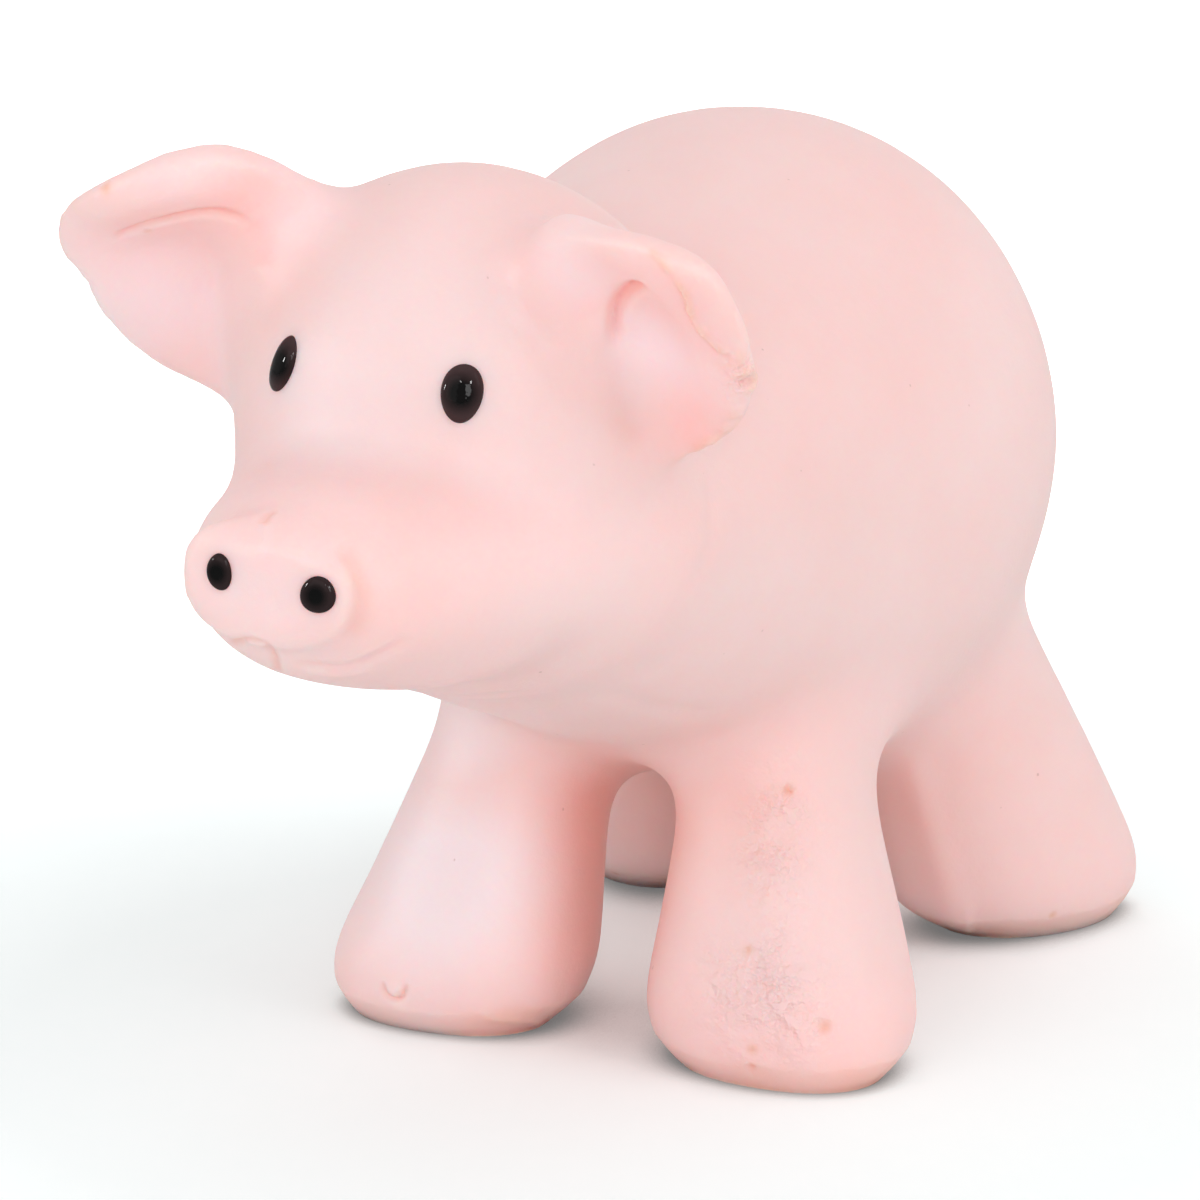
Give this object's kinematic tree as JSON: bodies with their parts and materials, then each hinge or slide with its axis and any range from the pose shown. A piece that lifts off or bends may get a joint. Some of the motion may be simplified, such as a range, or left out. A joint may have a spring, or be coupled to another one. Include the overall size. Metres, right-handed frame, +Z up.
{
  "type": "toy pig",
  "caption": "Hollow soft rubber toy pig standing on flared legs, with painted eyes and nostrils and a loose rattle ball sealed inside.",
  "frame": {"origin": "middle of the whole figure on the ground under the soles", "axes": "+Z up, -Y the way the pig looks, +X the pig's left"},
  "size_m": [0.0531, 0.107, 0.0754],
  "materials": {
    "pink_rubber": "matte natural rubber, pale pink",
    "plug_rubber": "matte natural rubber, a shade darker",
    "black_paint": "thick gloss enamel",
    "ball_plastic": "satin white plastic",
    "bead_steel": "plain steel shot"
  },
  "bodies": {
    "pig": {"body_shell": "pink_rubber", "belly_plug": "plug_rubber", "left_eye": "black_paint", "right_eye": "black_paint", "left_nostril": "black_paint", "right_nostril": "black_paint"},
    "rattle_ball": {"rattle_lower_cup": "ball_plastic", "rattle_upper_cup": "ball_plastic"},
    "bead_1": {"rattle_bead_1": "bead_steel"},
    "bead_2": {"rattle_bead_2": "bead_steel"},
    "bead_3": {"rattle_bead_3": "bead_steel"},
    "bead_4": {"rattle_bead_4": "bead_steel"},
    "bead_5": {"rattle_bead_5": "bead_steel"}
  },
  "joints": [
    {"name": "rattle_ball_slide", "type": "slide", "parent": "pig", "child": "rattle_ball", "axis": [0, 0, 1], "range_m": [0, 0.0325]},
    {"name": "bead_1_slide", "type": "slide", "parent": "rattle_ball", "child": "bead_1", "axis": [0, 0, 1], "range_m": [0, 0.0089]},
    {"name": "bead_2_slide", "type": "slide", "parent": "rattle_ball", "child": "bead_2", "axis": [0, 0, 1], "range_m": [0, 0.0062]},
    {"name": "bead_3_slide", "type": "slide", "parent": "rattle_ball", "child": "bead_3", "axis": [0, 0, 1], "range_m": [0, 0.0062]},
    {"name": "bead_4_slide", "type": "slide", "parent": "rattle_ball", "child": "bead_4", "axis": [0, 0, 1], "range_m": [0, 0.0062]},
    {"name": "bead_5_slide", "type": "slide", "parent": "rattle_ball", "child": "bead_5", "axis": [0, 0, 1], "range_m": [0, 0.0062]}
  ]
}
